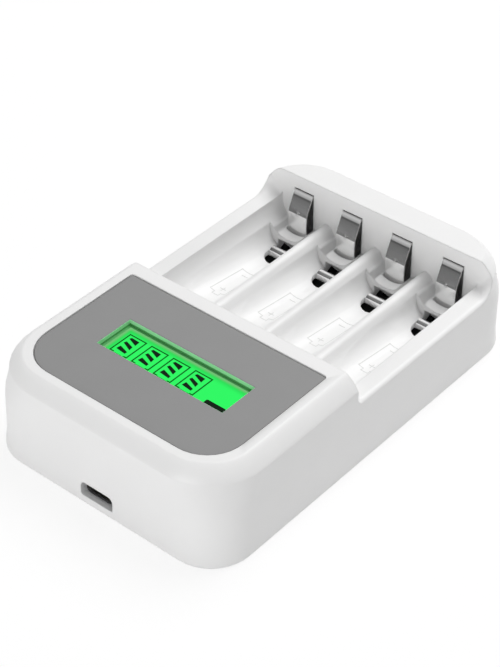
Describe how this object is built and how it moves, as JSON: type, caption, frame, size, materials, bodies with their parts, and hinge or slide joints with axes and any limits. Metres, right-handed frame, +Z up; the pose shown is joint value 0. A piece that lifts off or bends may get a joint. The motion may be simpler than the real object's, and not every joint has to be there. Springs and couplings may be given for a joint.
{
  "type": "battery charger",
  "caption": "White desk charger for AA and AAA cells: side-by-side bays with sprung sheet contacts, a raised deck with a green display, and a USB-C inlet.",
  "frame": {"origin": "centre of the footprint on the surface it stands on", "axes": "+Z up, +Y from the display end towards the head with the sprung contacts, +X to the right looking along +Y"},
  "size_m": [0.0734, 0.1167, 0.0275],
  "materials": {
    "housing_white": "glossy white moulding",
    "base_white": "satin white moulding",
    "screw_steel": "zinc plated",
    "panel_grey": "matte mid grey",
    "display_green": "lit green display",
    "light_guide": "milky light guide",
    "board_black": "black solder mask",
    "chip_black": "moulded black",
    "ferrite_grey": "ferrite",
    "can_aluminium": "drawn can",
    "inlet_steel": "folded shell",
    "tongue_black": "moulded black",
    "contact_steel": "nickel plated spring sheet"
  },
  "bodies": {
    "case": {"upper_housing": "housing_white", "base_cover": "base_white", "base_screw_1": "screw_steel", "base_screw_2": "screw_steel", "base_screw_3": "screw_steel", "base_screw_4": "screw_steel", "display_panel": "panel_grey", "lcd_glass": "display_green", "backlight": "light_guide", "display_board": "board_black", "main_board": "board_black", "controller_chip": "chip_black", "converter_chip": "chip_black", "board_header": "chip_black", "charge_transistor_1": "chip_black", "charge_transistor_2": "chip_black", "charge_transistor_3": "chip_black", "charge_transistor_4": "chip_black", "power_inductor": "ferrite_grey", "capacitor_1": "can_aluminium", "capacitor_2": "can_aluminium", "usb_shell": "inlet_steel", "usb_tongue": "tongue_black", "positive_contact_1": "contact_steel", "positive_contact_2": "contact_steel", "positive_contact_3": "contact_steel", "positive_contact_4": "contact_steel"},
    "aa_leaf_1": {"aa_spring_contact_1": "contact_steel"},
    "aa_leaf_2": {"aa_spring_contact_2": "contact_steel"},
    "aa_leaf_3": {"aa_spring_contact_3": "contact_steel"},
    "aa_leaf_4": {"aa_spring_contact_4": "contact_steel"},
    "aaa_leaf_1": {"aaa_spring_contact_1": "contact_steel"},
    "aaa_leaf_2": {"aaa_spring_contact_2": "contact_steel"},
    "aaa_leaf_3": {"aaa_spring_contact_3": "contact_steel"},
    "aaa_leaf_4": {"aaa_spring_contact_4": "contact_steel"}
  },
  "joints": [
    {"name": "aa_leaf_flex_1", "type": "hinge", "parent": "case", "child": "aa_leaf_1", "pos_m": [-0.024, 0.04458, 0.0048], "axis": [-1, 0, 0], "range_deg": [0, 8], "stiffness_Nm_per_rad": 0.35},
    {"name": "aa_leaf_flex_2", "type": "hinge", "parent": "case", "child": "aa_leaf_2", "pos_m": [-0.008, 0.04458, 0.0048], "axis": [-1, 0, 0], "range_deg": [0, 8], "stiffness_Nm_per_rad": 0.35},
    {"name": "aa_leaf_flex_3", "type": "hinge", "parent": "case", "child": "aa_leaf_3", "pos_m": [0.008, 0.04458, 0.0048], "axis": [-1, 0, 0], "range_deg": [0, 8], "stiffness_Nm_per_rad": 0.35},
    {"name": "aa_leaf_flex_4", "type": "hinge", "parent": "case", "child": "aa_leaf_4", "pos_m": [0.024, 0.04458, 0.0048], "axis": [-1, 0, 0], "range_deg": [0, 8], "stiffness_Nm_per_rad": 0.35},
    {"name": "aaa_leaf_flex_1", "type": "hinge", "parent": "case", "child": "aaa_leaf_1", "pos_m": [-0.024, 0.03861, 0.0048], "axis": [-1, 0, 0], "range_deg": [0, 26], "stiffness_Nm_per_rad": 0.03},
    {"name": "aaa_leaf_flex_2", "type": "hinge", "parent": "case", "child": "aaa_leaf_2", "pos_m": [-0.008, 0.03861, 0.0048], "axis": [-1, 0, 0], "range_deg": [0, 26], "stiffness_Nm_per_rad": 0.03},
    {"name": "aaa_leaf_flex_3", "type": "hinge", "parent": "case", "child": "aaa_leaf_3", "pos_m": [0.008, 0.03861, 0.0048], "axis": [-1, 0, 0], "range_deg": [0, 26], "stiffness_Nm_per_rad": 0.03},
    {"name": "aaa_leaf_flex_4", "type": "hinge", "parent": "case", "child": "aaa_leaf_4", "pos_m": [0.024, 0.03861, 0.0048], "axis": [-1, 0, 0], "range_deg": [0, 26], "stiffness_Nm_per_rad": 0.03}
  ]
}
